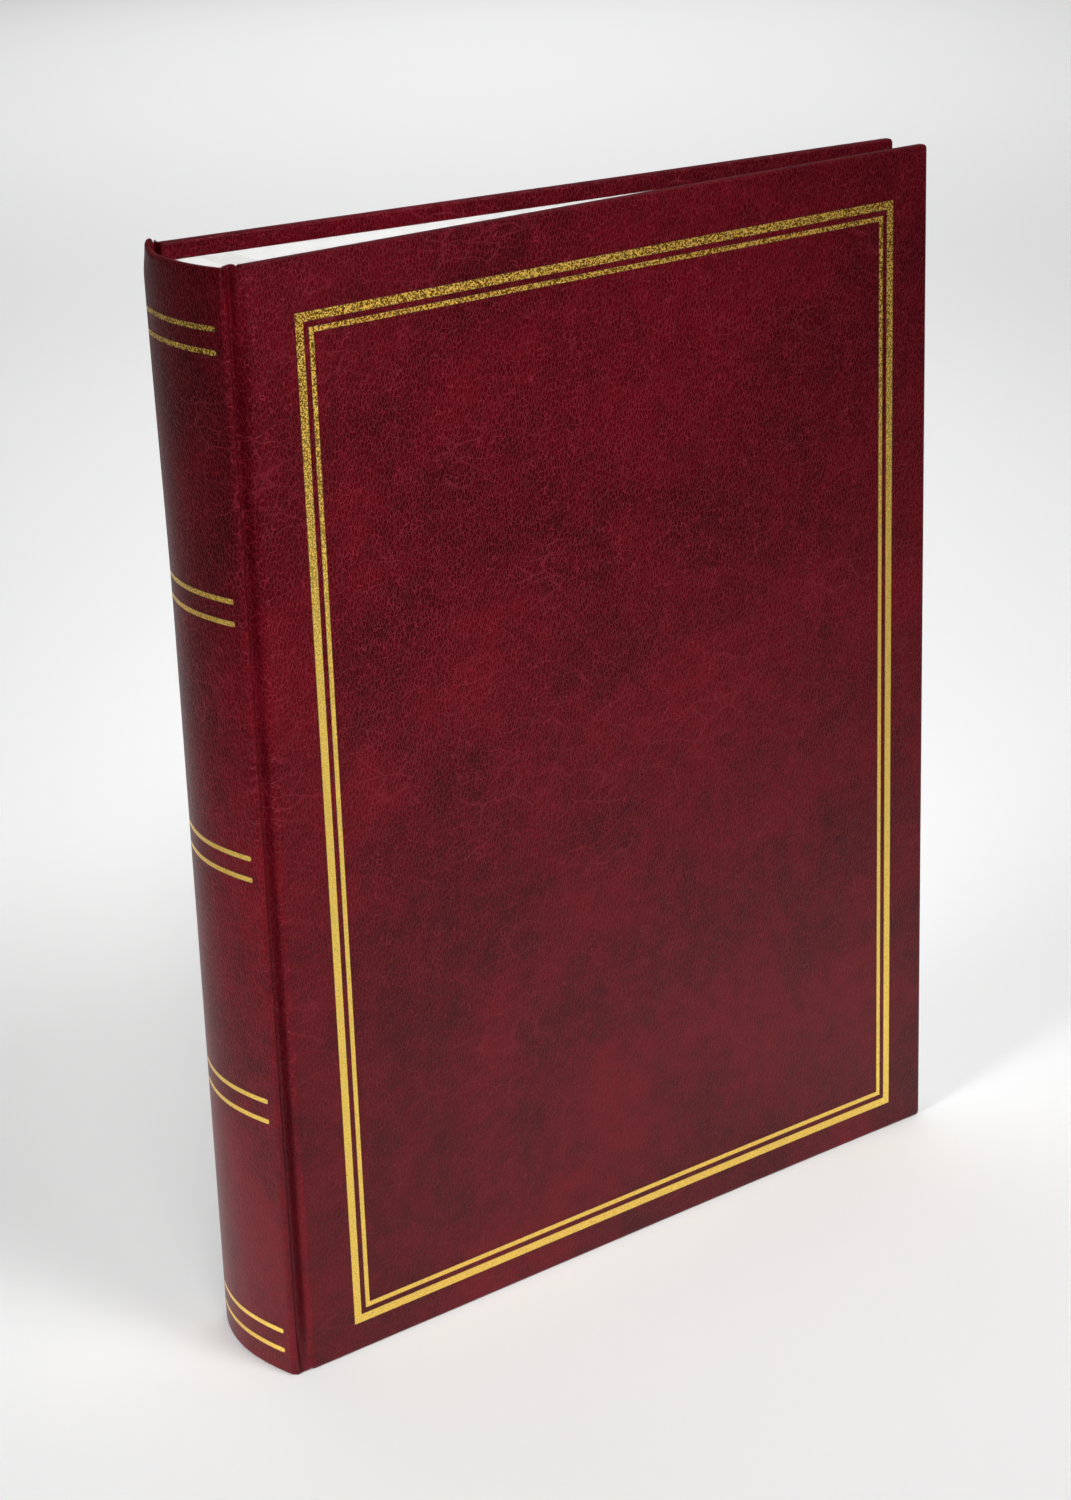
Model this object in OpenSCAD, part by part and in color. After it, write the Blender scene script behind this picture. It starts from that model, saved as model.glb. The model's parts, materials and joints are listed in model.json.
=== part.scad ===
// Stamp album: a book-bound stock book in a hard leatherette case with a rounded hollow spine.
// It stands on its tail edges. The spine faces -X, the fore-edge +X and the front cover -Y.

/* [Case] */
// Height of the covers, from tail to head
case_height = 310; // [240:1:340]
// Width of a cover, from the groove to the fore-edge
cover_width = 236; // [170:1:260]
// Thickness over both covers at the grooves
spine_thickness = 44; // [44:0.5:60]
// Thickness over both covers at the fore-edge
fore_thickness = 15.6; // [15.6:0.1:24]
// Grey board inside each cover
board_thickness = 2.4; // [1.6:0.1:2.4]
// Leatherette skin
skin = 0.4; // [0.3:0.05:0.4]
// Width of the skin turned in over the inner face
turn_in = 15; // [10:1:20]
// Radius of the cover's long edges
edge_round = 0.8; // [0.5:0.1:1.2]
// Radius of the cover's fore-edge corners
corner_round = 1.5; // [1:0.1:3]

/* [Spine] */
// Rise of the rounded spine over its own edges
spine_bulge = 3.5; // [2:0.1:6]
// Radius of the spine's two long edges
shoulder_round = 1.6; // [1:0.1:1.8]
// Card that stiffens the spine
spine_card_thickness = 1.2; // [0.8:0.1:1.6]
// Width of the groove between the spine and a cover
groove_width = 4; // [3.4:0.1:6]

/* [Gilding] */
// Thickness of the gold foil
foil = 0.05; // [0.03:0.01:0.1]
// Groove to the outer rule
rule_from_groove = 14.5; // [8:0.1:25]
// Fore-edge to the outer rule
rule_from_fore_edge = 13.6; // [8:0.1:25]
// Tail to the outer rule
rule_from_tail = 8.6; // [6:0.1:25]
// Head to the outer rule
rule_from_head = 14.2; // [6:0.1:25]
// Width of the outer rule
outer_rule_width = 2.6; // [1:0.1:4]
// Bare leather between the two rules
rule_gap = 1.4; // [0.8:0.1:4]
// Width of the inner rule
inner_rule_width = 1.6; // [0.8:0.1:4]
// Pairs of lines over the spine
band_pairs = 5; // [2:1:7]
// Tail to the middle of the lowest pair
band_from_tail = 10.3; // [8:0.1:30]
// Head to the middle of the highest pair
band_from_head = 18.3; // [8:0.1:30]
// Middle of one line to the middle of its twin
band_twin_pitch = 6; // [3:0.1:9]
// Width of one line
band_line_width = 1.6; // [0.8:0.1:2.5]
// Bare margin between a line's end and the edge of the spine
band_margin = 3.7; // [1:0.1:8]

/* [Leaves] */
// Overhang of the covers past the leaves at head, tail and fore-edge
square_margin = 4.7; // [3:0.1:6]
// Card of a leaf
leaf_thickness = 0.3; // [0.2:0.05:0.3]
// Distance from leaf to leaf at the hinges
leaf_pitch = 2.2; // [1.6:0.1:2.2]
// Distance from leaf to leaf at the fore-edge
fore_pitch = 0.5; // [0.45:0.01:0.5]
// Depth of the guards that space the leaves at the spine
guard_depth = 11.5; // [8:0.5:16]
// Linen of a leaf's hinge
linen_thickness = 0.25; // [0.15:0.05:0.3]
// Endpapers
paper_thickness = 0.15; // [0.1:0.01:0.2]

/* [Pockets] */
// Pocket strips on each page
strip_count = 9; // [4:1:10]
// Clear film of a strip
film = 0.05; // [0.03:0.01:0.05]
// Bare card between one strip and the next
strip_gap = 5; // [3:0.5:8]
// Bare card at the hinge side of a page
page_gutter = 14; // [8:0.5:25]
// Bare card along the fore-edge, head and tail of a page
page_margin = 4; // [2:0.5:10]

/* [Hidden] */
$fn = 96;
LEATHERETTE = "#5c1420";
FOIL = "#d8a93c";
CARD = "#fafaf7";
LINEN = "#ece6d8";
BOARD = "#8f867a";
FILM = [0.86, 0.91, 0.95, 0.35];

leaf_count = 16;
pair_half = spine_thickness / 2;
cover_thickness = board_thickness + 2 * skin;
taper = asin((spine_thickness - fore_thickness) / 2 / cover_width);
fore_x = cover_width * cos(taper);

// The groove is a half-round channel about the axis on which the cover swings
groove_clearance = 0.1;
groove_radius = groove_width / 2 - groove_clearance;
swing_x = -groove_width / 2;

// The spine is an arc through its two edges and its apex
spine_setback = 0.4;
spine_half = pair_half - spine_setback;
spine_wall = spine_card_thickness + 2 * skin;
spine_radius = (pow(spine_half, 2) + pow(spine_bulge, 2)) / (2 * spine_bulge);
spine_edge_wall = sqrt(pow(spine_radius, 2) - pow(spine_half, 2))
    - sqrt(pow(spine_radius - spine_wall, 2) - pow(spine_half, 2));
spine_apex = -groove_width - spine_edge_wall - spine_bulge;
spine_centre = spine_apex + spine_radius;

// The leaves: guards from the block's back to their ends, hinges just past them
block_back = -2;
block_half = leaf_count * leaf_pitch / 2;
lining_thickness = 0.3;
lining_flange = 10;
flyleaf_gap = 0.6;
hinge_gap = 0.1;
hinge_reach = 1.5;
guard_end = block_back + guard_depth;
leaf_hinge_x = guard_end + hinge_reach;
leaf_end_x = fore_x - square_margin;
leaf_bottom = square_margin;
leaf_height = case_height - 2 * square_margin;
flyleaf_hinge_x = block_back + lining_flange + flyleaf_gap;
flyleaf_hinge_y = block_half + paper_thickness;
flyleaf_fore_y = (leaf_count - 1) / 2 * fore_pitch + leaf_thickness / 2 + film
    + 2 * paper_thickness;
strip_pitch = (leaf_height - 2 * page_margin + strip_gap) / strip_count;

// The middle of the album's outline is the origin
middle_x = (fore_x + spine_apex - foil) / 2;

function two_digits(k) = str(k < 10 ? "0" : "", k);
function leaf_name(k) = str("leaf_", two_digits(k));
function pockets_name(k) = str("pockets_", two_digits(k));
// Place of a leaf across the block, at its hinge and at the fore-edge
function leaf_hinge_y(k) = (k - (leaf_count + 1) / 2) * leaf_pitch;
function leaf_fore_y(k) = (k - (leaf_count + 1) / 2) * fore_pitch;
// Turn that takes a sheet from its hinge to its place at the fore-edge
function lean(hinge_x, hinge_y, fore_y) = atan((fore_y - hinge_y) / (leaf_end_x - hinge_x));
function reach(hinge_x, hinge_y, fore_y) = norm([leaf_end_x - hinge_x, fore_y - hinge_y]);

// Puts a shape drawn from the front groove into the album's own frame
module in_album() {
    translate([-middle_x, 0, 0]) children();
}

// Local frame of a cover: X to the fore-edge, Y inwards from the outer face, Z to the head
module on_front_cover() {
    in_album() translate([0, -pair_half, 0]) rotate([0, 0, taper]) children();
}

module on_back_cover() {
    mirror([0, 1, 0]) on_front_cover() children();
}

// Rectangle with round corners
module rounded(width, height, radius) {
    translate([radius, 0]) square([width - 2 * radius, height]);
    translate([0, radius]) square([width, height - 2 * radius]);
    for (x = [radius, width - radius], y = [radius, height - radius])
        translate([x, y]) circle(radius);
}

// Upright plate whose corners are round at the fore-edge only
module cover_plate(width, thickness, height, radius) {
    intersection() {
        translate([-2 * radius, thickness, 0])
            rotate([90, 0, 0]) linear_extrude(thickness) rounded(width + 2 * radius, height, radius);
        cube([width, thickness, height]);
    }
}

module board_plate() {
    translate([skin, skin, skin])
        cover_plate(cover_width - 2 * skin, board_thickness, case_height - 2 * skin, corner_round - skin);
}

// Skin round a board: outer face, all edges and the turn-ins, open where the board's inner face is bare
module cover_skin() {
    difference() {
        intersection() {
            cover_plate(cover_width, cover_thickness, case_height, corner_round);
            rotate([90, 0, 90]) linear_extrude(cover_width)
                rounded(cover_thickness, case_height, edge_round);
            linear_extrude(case_height) rounded(cover_width, cover_thickness, edge_round);
        }
        board_plate();
        translate([skin, skin + board_thickness, turn_in])
            cube([cover_width - skin - turn_in, 2 * skin, case_height - 2 * turn_in]);
    }
}

// Endpaper on a board, pressed down between the turn-ins
module pastedown_sheet() {
    translate([edge_round, cover_thickness, square_margin])
        cube([cover_width - edge_round - square_margin, paper_thickness, leaf_height]);
    translate([skin, skin + board_thickness, turn_in])
        cube([cover_width - skin - turn_in, skin + paper_thickness, case_height - 2 * turn_in]);
}

// Frame of foil on the front cover, inset from the outer rule's outer edge
module rule(inset, width) {
    left = rule_from_groove + inset;
    tail = rule_from_tail + inset;
    across = cover_width - rule_from_groove - rule_from_fore_edge - 2 * inset;
    tall = case_height - rule_from_tail - rule_from_head - 2 * inset;
    translate([left, 0, tail]) rotate([90, 0, 0]) linear_extrude(foil) difference() {
        square([across, tall]);
        translate([width, width]) square([across - 2 * width, tall - 2 * width]);
    }
}

// Arc of the spine between two radii
module spine_arc(outer, inner, half_width) {
    translate([spine_centre, 0]) intersection() {
        difference() {
            circle(outer);
            circle(inner);
        }
        translate([-outer, -half_width]) square([outer, 2 * half_width]);
    }
}

// Section of the spine, an arc whose outer corners are filleted: the fillets touch the outer circle from inside
module spine_section(outer, inner, half_width, fillet) {
    fillet_y = half_width - fillet;
    fillet_x = spine_centre - sqrt(pow(outer - fillet, 2) - pow(fillet_y, 2));
    difference() {
        union() {
            spine_arc(outer, inner, fillet_y * outer / (outer - fillet));
            for (side = [-1, 1]) translate([fillet_x, side * fillet_y]) circle(fillet);
            translate([fillet_x, -half_width]) square([spine_wall, 2 * half_width]);
        }
        translate([spine_centre, 0]) circle(inner);
    }
}

// Room inside the skin of the spine, down to a depth below its outer face
module spine_hollow(depth) {
    spine_section(spine_radius - skin, spine_radius - depth, spine_half - skin, shoulder_round - skin);
}

// Half-round channel that the skin makes between the spine and a cover
module joint_channel() {
    translate([swing_x, -pair_half, 0]) linear_extrude(case_height) intersection() {
        difference() {
            circle(groove_radius);
            circle(groove_radius - skin);
        }
        translate([-groove_radius, 0]) square([2 * groove_radius, groove_radius]);
    }
}

// Upright sheet with a round nose on its hinge line
module hinged_sheet(length, thickness) {
    linear_extrude(leaf_height) {
        circle(thickness / 2);
        translate([0, -thickness / 2]) square([length, thickness]);
    }
}

// Local frame of a leaf: X from its hinge to the fore-edge, Z from its tail
module on_leaf(k) {
    y = leaf_hinge_y(k);
    in_album() translate([leaf_hinge_x, y, leaf_bottom])
        rotate([0, 0, lean(leaf_hinge_x, y, leaf_fore_y(k))]) children();
}

module flyleaf_sheet() {
    turn = lean(flyleaf_hinge_x, -flyleaf_hinge_y, -flyleaf_fore_y);
    length = reach(flyleaf_hinge_x, -flyleaf_hinge_y, -flyleaf_fore_y);
    translate([flyleaf_hinge_x, -flyleaf_hinge_y, leaf_bottom])
        rotate([0, 0, turn]) hinged_sheet(length, paper_thickness);
}

module front_leatherette() {
    color(LEATHERETTE) on_front_cover() cover_skin();
}

module back_leatherette() {
    color(LEATHERETTE) on_back_cover() cover_skin();
}

module spine_leatherette() {
    color(LEATHERETTE) in_album() difference() {
        linear_extrude(case_height)
            spine_section(spine_radius, spine_radius - spine_wall, spine_half, shoulder_round);
        translate([0, 0, skin]) linear_extrude(case_height - 2 * skin) spine_hollow(spine_wall - skin);
        translate([0, 0, turn_in]) linear_extrude(case_height - 2 * turn_in) spine_hollow(spine_wall + skin);
    }
}

module front_joint() {
    color(LEATHERETTE) in_album() joint_channel();
}

module back_joint() {
    color(LEATHERETTE) mirror([0, 1, 0]) in_album() joint_channel();
}

module front_board() {
    color(BOARD) on_front_cover() board_plate();
}

module back_board() {
    color(BOARD) on_back_cover() board_plate();
}

module spine_card() {
    color(BOARD) in_album() translate([0, 0, skin]) linear_extrude(case_height - 2 * skin)
        spine_hollow(spine_wall - skin);
}

module front_outer_rule() {
    color(FOIL) on_front_cover() rule(0, outer_rule_width);
}

module front_inner_rule() {
    color(FOIL) on_front_cover() rule(outer_rule_width + rule_gap, inner_rule_width);
}

module spine_bands() {
    pair_pitch = (case_height - band_from_tail - band_from_head) / (band_pairs - 1);
    color(FOIL) in_album() for (pair = [0 : band_pairs - 1], twin = [-0.5, 0.5])
        translate([0, 0, band_from_tail + pair * pair_pitch + twin * band_twin_pitch])
            linear_extrude(band_line_width, center = true)
                spine_arc(spine_radius + foil, spine_radius, spine_half - band_margin);
}

module front_pastedown() {
    color(CARD) on_front_cover() pastedown_sheet();
}

module back_pastedown() {
    color(CARD) on_back_cover() pastedown_sheet();
}

module front_flyleaf() {
    color(CARD) in_album() flyleaf_sheet();
}

module back_flyleaf() {
    color(CARD) mirror([0, 1, 0]) in_album() flyleaf_sheet();
}

// Card strips on both sides of each linen hinge, with half strips at the outside of the block
module binding_guards() {
    color(CARD) in_album() for (k = [0 : leaf_count]) {
        near = k == 0 ? -block_half : leaf_hinge_y(k) + linen_thickness / 2;
        far = k == leaf_count ? block_half : leaf_hinge_y(k + 1) - linen_thickness / 2;
        translate([block_back, near, leaf_bottom]) cube([guard_depth, far - near, leaf_height]);
    }
}

module linen_hinges() {
    color(LINEN) in_album() for (k = [1 : leaf_count])
        translate([block_back, leaf_hinge_y(k) - linen_thickness / 2, leaf_bottom])
            cube([leaf_hinge_x - leaf_thickness / 2 - hinge_gap - block_back, linen_thickness, leaf_height]);
}

// Cloth over the back of the guards, folded on to the two sides of the block
module spine_lining() {
    outer = block_half + lining_thickness;
    color(LINEN) in_album() translate([block_back, 0, leaf_bottom])
        linear_extrude(leaf_height) difference() {
            translate([-lining_thickness, -outer]) square([lining_thickness + lining_flange, 2 * outer]);
            translate([0, -block_half]) square([lining_flange, 2 * block_half]);
        }
}

module leaf(k) {
    y = leaf_hinge_y(k);
    color(CARD) on_leaf(k) hinged_sheet(reach(leaf_hinge_x, y, leaf_fore_y(k)), leaf_thickness);
}

// Clear strips on both sides of a leaf, each open along its upper edge
module pockets(k) {
    y = leaf_hinge_y(k);
    across = reach(leaf_hinge_x, y, leaf_fore_y(k)) - page_gutter - page_margin;
    sides = [-leaf_thickness / 2 - film, leaf_thickness / 2];
    color(FILM) on_leaf(k) for (side = sides, row = [0 : strip_count - 1])
        translate([page_gutter, side, page_margin + row * strip_pitch])
            cube([across, film, strip_pitch - strip_gap]);
}

front_leatherette();
back_leatherette();
spine_leatherette();
front_joint();
back_joint();
front_board();
back_board();
spine_card();
front_outer_rule();
front_inner_rule();
spine_bands();
front_pastedown();
back_pastedown();
front_flyleaf();
back_flyleaf();
binding_guards();
linen_hinges();
spine_lining();
for (k = [1 : leaf_count]) leaf(k);
for (k = [1 : leaf_count]) pockets(k);
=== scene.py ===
"""Stamp album in a burgundy leatherette case: its skins, gilding, papers, hinges and a plain studio."""

import json
import math
from functools import cache, partial
from typing import NamedTuple

import bmesh
import bpy
import numpy as np
from bpy.props import FloatProperty, FloatVectorProperty, PointerProperty
from bpy.types import Operator, Panel, PropertyGroup
from mathutils import Matrix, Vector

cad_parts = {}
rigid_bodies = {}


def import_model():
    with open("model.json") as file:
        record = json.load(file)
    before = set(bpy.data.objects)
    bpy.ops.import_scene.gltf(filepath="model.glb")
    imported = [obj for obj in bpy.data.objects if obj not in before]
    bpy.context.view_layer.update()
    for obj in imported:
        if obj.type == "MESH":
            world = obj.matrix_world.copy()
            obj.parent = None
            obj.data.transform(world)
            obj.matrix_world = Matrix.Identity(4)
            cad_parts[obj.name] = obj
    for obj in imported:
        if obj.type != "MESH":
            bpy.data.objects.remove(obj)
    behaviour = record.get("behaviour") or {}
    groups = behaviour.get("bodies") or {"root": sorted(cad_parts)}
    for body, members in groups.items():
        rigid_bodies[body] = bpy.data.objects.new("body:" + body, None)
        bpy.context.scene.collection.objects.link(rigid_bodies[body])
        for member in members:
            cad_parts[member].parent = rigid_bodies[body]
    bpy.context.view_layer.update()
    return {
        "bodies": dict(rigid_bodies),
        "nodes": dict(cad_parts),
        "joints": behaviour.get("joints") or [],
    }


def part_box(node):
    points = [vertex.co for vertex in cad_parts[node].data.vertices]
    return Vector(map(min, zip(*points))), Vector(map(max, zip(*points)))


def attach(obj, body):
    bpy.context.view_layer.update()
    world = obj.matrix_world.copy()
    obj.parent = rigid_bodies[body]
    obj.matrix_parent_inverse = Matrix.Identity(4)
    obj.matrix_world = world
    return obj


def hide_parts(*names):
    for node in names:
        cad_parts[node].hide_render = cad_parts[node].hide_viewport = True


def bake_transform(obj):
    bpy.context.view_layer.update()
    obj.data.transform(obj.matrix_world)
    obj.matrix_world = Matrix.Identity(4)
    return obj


bl_info = {
    "name": "Stamp album",
    "version": (1, 0, 0),
    "blender": (4, 5, 0),
    "location": "3D View > Sidebar > Album",
    "description": "Makes the skins, gilding, papers and hinges of a leatherette stamp album, and its studio",
    "category": "Object",
}

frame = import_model()

MM = 0.001
MERGE = 1e-6
SHARP_EDGE = math.radians(40)
FRONT, BACK = -1, 1
SIDES = ((FRONT, "front"), (BACK, "back"))
JOINTS = {joint["name"]: joint["pos_m"] for joint in frame["joints"]}
SWING_X, SWING_Y = JOINTS["front_cover_swing"][0], -JOINTS["front_cover_swing"][1]
FLYLEAF_X, FLYLEAF_Y = JOINTS["front_flyleaf_turn"][0], -JOINTS["front_flyleaf_turn"][1]
LEAVES = sorted(name for name in frame["bodies"] if name.startswith("leaf_"))

# Each lamp's name, place, point lit, width and length, spread in degrees and power in watts
LAMPS = (
    ("key", (0.15, -0.65, 0.95), (0.10, -0.30, 0.0), (0.4, 0.4), 92.0, 1.5),
    ("left", (-0.60, -0.90, 1.10), (-0.09, -0.02, 0.31), (0.3, 0.3), 14.0, 0.13),
    ("right", (0.22, -0.88, 1.07), (-0.09, -0.02, 0.29), (0.3, 0.3), 14.0, 0.07),
    ("glint", (0.46, -1.08, 0.22), (-0.10, -0.02, 0.29), (0.2, 0.2), 16.0, 0.016),
    ("fill", (-0.98, -0.22, 0.24), (-0.13, -0.02, 0.02), (0.3, 0.3), 26.0, 0.36),
    ("low", (-0.35, -1.05, 0.30), (0.01, -0.03, -0.09), (0.5, 0.5), 33.0, 0.46),
    ("back", (0.37, 0.58, 1.00), (0.384, 0.600, 0.0), (1.1, 1.1), 92.0, 3.8),
    ("far", (1.40, 2.10, 1.60), (1.414, 2.120, 0.0), (2.0, 2.4), 72.0, 13.0),
)


def named(group):
    """Gives each property of a group its attribute's name in words."""
    for attribute, made in group.__annotations__.items():
        made.keywords["name"] = attribute.replace("_", " ").capitalize()
    return group


def length(description, millimetres):
    """A size that a user may change."""
    return FloatProperty(description=description, default=millimetres * MM, unit="LENGTH", precision=5)


def angle(description, degrees):
    """An angle that a user may change."""
    return FloatProperty(description=description, default=math.radians(degrees), subtype="ANGLE")


def colour(description, default):
    """A colour that a user may change, in linear red, green and blue."""
    return FloatVectorProperty(description=description, default=default, subtype="COLOR", min=0, max=1)


@named
class AlbumCase(PropertyGroup):
    """Sizes of the case: covers, grooves and spine."""

    height: length("Tail to head of the covers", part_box("front_leatherette")[1].z / MM)
    cover_width: length("Groove edge to fore-edge, along a cover", 236)
    cover_thickness: length("Board with its skins", 3.2)
    spine_thickness: length("Over both covers at the grooves", 2 * SWING_Y / MM)
    fore_thickness: length("Over both covers at the fore-edge", 15.6)
    cover_bow: length("Spread of a cover's fore-edge beyond the flat board", 1.1)
    skin: length("Thickness of the leatherette", 0.4)
    turn_in: length("Width of the skin folded over the inside", 15)
    edge_round: length("Radius of the covers' long edges", 0.95)
    corner_round: length("Radius of the fore-edge corners", 1.15)
    hinge_round: length("Radius of the corners at the groove", 0.5)
    groove_width: length("Cover edge to the spine's inner edge", 4)
    groove_depth: length("Depth of the groove below the spine's shoulder", 2.8)
    spine_bulge: length("Rise of the spine's arc", 3.5)
    spine_wall: length("Card with its skins", 2)
    spine_setback: length("Spine's edge behind the cover's outer face", 0.4)
    shoulder_round: length("Radius of the spine's long edge at the front", 1.6)
    back_sag: length("Falling away of the spine's arc at its back edge", 3.2)
    head_flare: length("Part of the sag that is taken back towards the head", 1.7)
    rim_round: length("Radius of the spine's head and tail edges", 0.95)
    head_lift: length("Rise of the spine's head towards its back edge", 3.2)
    head_round: length("Radius of the spine's head corner at the back", 2.8)
    head_slack: length("Sinking of the spine's shoulders at the head", 0.9)
    head_bead: length("Swelling of the groove's turned-in head", 1.3)


@named
class AlbumGilding(PropertyGroup):
    """Places and widths of the gold rules and spine bands."""

    from_groove: length("Cover's hinge edge to the outer rule", 14.5)
    from_fore_edge: length("Fore-edge to the outer rule", 13.6)
    from_tail: length("Tail to the outer rule", 8.6)
    from_head: length("Head to the outer rule", 14.2)
    outer_width: length("Width of the outer rule", 2.6)
    gap: length("Leatherette between the two rules", 1.4)
    inner_width: length("Width of the inner rule", 1.6)
    band_from_tail: length("Tail to the middle of the lowest pair", 10.3)
    band_from_head: length("Head to the middle of the highest pair", 18.3)
    band_pitch: length("Between the two lines of a pair", 6)
    band_width: length("Width of one line", 1.6)
    band_margin: length("Spine's edge to the end of a line", 3.7)
    foil: length("Rise of the foil above the skin", 0.045)


@named
class AlbumBlock(PropertyGroup):
    """Sizes of the endpapers, guards, hinges and leaves."""

    square: length("Overhang of the covers round the leaves", 4.7)
    paper: length("Thickness of the endpapers", 0.15)
    leaf: length("Thickness of a leaf", 0.3)
    fore_pitch: length("Between leaves at the fore-edge", 0.5)
    linen: length("Thickness of the hinge linen", 0.14)
    linen_in_guard: length("Linen held between the guards", 6)
    linen_on_leaf: length("Linen glued to a leaf", 8)
    guard_gap: length("Guards' ends to the leaves' hinge lines", 1.5)
    strip_pitch: length("Tail to tail of the pocket strips", 33.067)
    strip_gap: length("Bare card between pocket strips", 5)
    page_margin: length("Leaf's tail to the lowest strip", 4)


@named
class AlbumFinish(PropertyGroup):
    """Colours of the finishes."""

    leatherette: colour("Brighter pebbles of the grain", (0.096, 0.0009, 0.0045))
    shade: colour("Darker pebbles of the grain", (0.034, 0.0003, 0.0014))
    # Painted sheen: a lighter, pinker colour for the grain's real lines, standing in for light catching on
    # them.
    crease: colour("Fine lines of the grain", (0.225, 0.008, 0.024))
    gold: colour("Stamped foil", (1.0, 0.69, 0.14))
    # Painted shade: a dark foil colour between the painted glints, strongest towards the head, standing in
    # for the foil's dimmer reflection there.
    old_gold: colour("Foil where the grain breaks it", (0.19, 0.085, 0.006))
    endpaper: colour("Endpapers", (0.86, 0.86, 0.84))
    card: colour("Leaves and guards", (0.90, 0.90, 0.885))
    linen: colour("Hinge cloth", (0.90, 0.895, 0.88))
    board: colour("Pressed board", (0.27, 0.235, 0.19))
    film: colour("Pocket strips", (0.86, 0.92, 0.95))
    floor: colour("Floor of the studio", (0.89, 0.89, 0.89))


@named
class AlbumStage(PropertyGroup):
    """Camera, floor and the light from all round."""

    azimuth: angle("Camera's turn from straight in front", -34.50)
    elevation: angle("Camera's height above the horizon", 19.93)
    roll: angle("Camera's turn about its own axis", -2.03)
    distance: length("Camera to the point it looks at", 899.04)
    aim_from_groove: length("Point looked at, from the groove towards the fore-edge", 97.29)
    aim_height: length("Height of the point looked at", 154.61)
    lens: FloatProperty(description="Focal length in millimetres for a picture 36 mm tall", default=76.12)
    floor_reach: length("Album to the floor's edges", 6000)
    ambient: FloatProperty(description="Strength of the light from all round", default=0.14)


def album(group):
    """One of the album's groups of sizes or colours."""
    return getattr(bpy.context.scene, "album_" + group)


# Mesh helpers

def add_object(name, data):
    """Puts an object with this data into the scene."""
    made = bpy.data.objects.new(name, data)
    bpy.context.scene.collection.objects.link(made)
    return made


def add_piece(name, points, material, faces=None, values=None):
    """Puts points and faces, or else the faces of a capped tube, into a smooth mesh with doubled points
    merged and faces turned outwards. Values are the points' distances from an edge."""
    mesh = bpy.data.meshes.new(name)
    mesh.from_pydata(points.reshape(-1, 3).tolist(), [], faces or tube_faces(*points.shape[:2]))
    if values is not None:
        layer = mesh.attributes.new("from_edge", "FLOAT", "POINT")
        layer.data.foreach_set("value", np.asarray(values, np.float32).ravel())
    shape = bmesh.new()
    shape.from_mesh(mesh)
    bmesh.ops.remove_doubles(shape, verts=shape.verts, dist=MERGE)
    bmesh.ops.recalc_face_normals(shape, faces=shape.faces)
    shape.to_mesh(mesh)
    shape.free()
    mesh.shade_smooth()
    mesh.set_sharp_from_angle(angle=SHARP_EDGE)
    mesh.materials.append(material)
    return add_object(name, mesh)


def tube_faces(rows, columns, first=0, ends="capped"):
    """Faces of a loop carried along a path: the loop is closed, and the path is capped, open or joined."""
    index = first + np.arange(rows * columns).reshape(rows, columns)
    across = np.roll(index, -1, axis=1)
    quads = np.stack([index, across, np.roll(across, -1, axis=0), np.roll(index, -1, axis=0)], axis=-1)
    kept = quads if ends == "joined" else quads[:-1]
    caps = [index[0].tolist(), index[-1].tolist()] if ends == "capped" else []
    return kept.reshape(-1, 4).tolist() + caps


def grid_faces(rows, columns, first=0):
    """Faces of an open grid of points."""
    index = first + np.arange(rows * columns).reshape(rows, columns)
    quads = np.stack([index[:-1, :-1], index[:-1, 1:], index[1:, 1:], index[1:, :-1]], axis=-1)
    return quads.reshape(-1, 4).tolist()


def smoothstep(value):
    """0 below 0, 1 above 1, and an even S-curve between."""
    t = np.clip(value, 0.0, 1.0)
    return t * t * (3 - 2 * t)


def pairs(first, second):
    """Points in a plane from their two coordinates, one of which may be a single number."""
    return np.stack(np.broadcast_arrays(first, second), axis=-1)


def directions(line):
    """Unit vectors along a line of points."""
    along = np.gradient(line, axis=0)
    return along / np.linalg.norm(along, axis=-1, keepdims=True)


def distances(line):
    """Distance of each point of a line from its start, along the line."""
    return np.concatenate([[0], np.cumsum(np.linalg.norm(np.diff(line, axis=0), axis=-1))])


def even_shares(count, ends=False):
    """Shares of a side, closer together towards its two ends, without the ends or with them."""
    shares = (1 - np.cos(np.linspace(0, np.pi, count + 2))) / 2
    return shares if ends else shares[1:-1]


def quarter(steps=6):
    """Sine and one minus cosine over a quarter turn: the run and rise of a rounded edge of radius one."""
    turn = np.linspace(0, np.pi / 2, steps + 1)
    return np.sin(turn), 1 - np.cos(turn)


def rounded_ring(width, height, inset, radii, arc_steps, shares):
    """Points round a rectangle pulled in by inset: at each corner a quarter circle of its own radius less the
    inset, and between them sides divided by the given shares."""
    corners = np.array([[0, 0], [width, 0], [width, height], [0, height]])
    inward = np.array([[1, 1], [-1, 1], [-1, -1], [1, -1]])
    reach, radius = np.maximum(radii, inset), np.maximum(radii - inset, 0)
    turn = np.radians(np.array([180, 270, 0, 90])[:, None] + np.linspace(0, 90, arc_steps + 1))
    centres = corners + inward * reach[:, None]
    arcs = centres[:, None] + radius[:, None, None] * pairs(np.cos(turn), np.sin(turn))
    ends = np.roll(arcs[:, 0], -1, axis=0)
    sides = arcs[:, -1:] + shares[None, :, None] * (ends - arcs[:, -1])[:, None]
    return np.concatenate([arcs, sides], axis=1).reshape(-1, 2)


class CasePlan(NamedTuple):
    """Sizes of the closed case in plan."""

    taper: float
    hinge_edge: float
    spine_half: float
    spine_radius: float
    spine_centre: float


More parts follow.
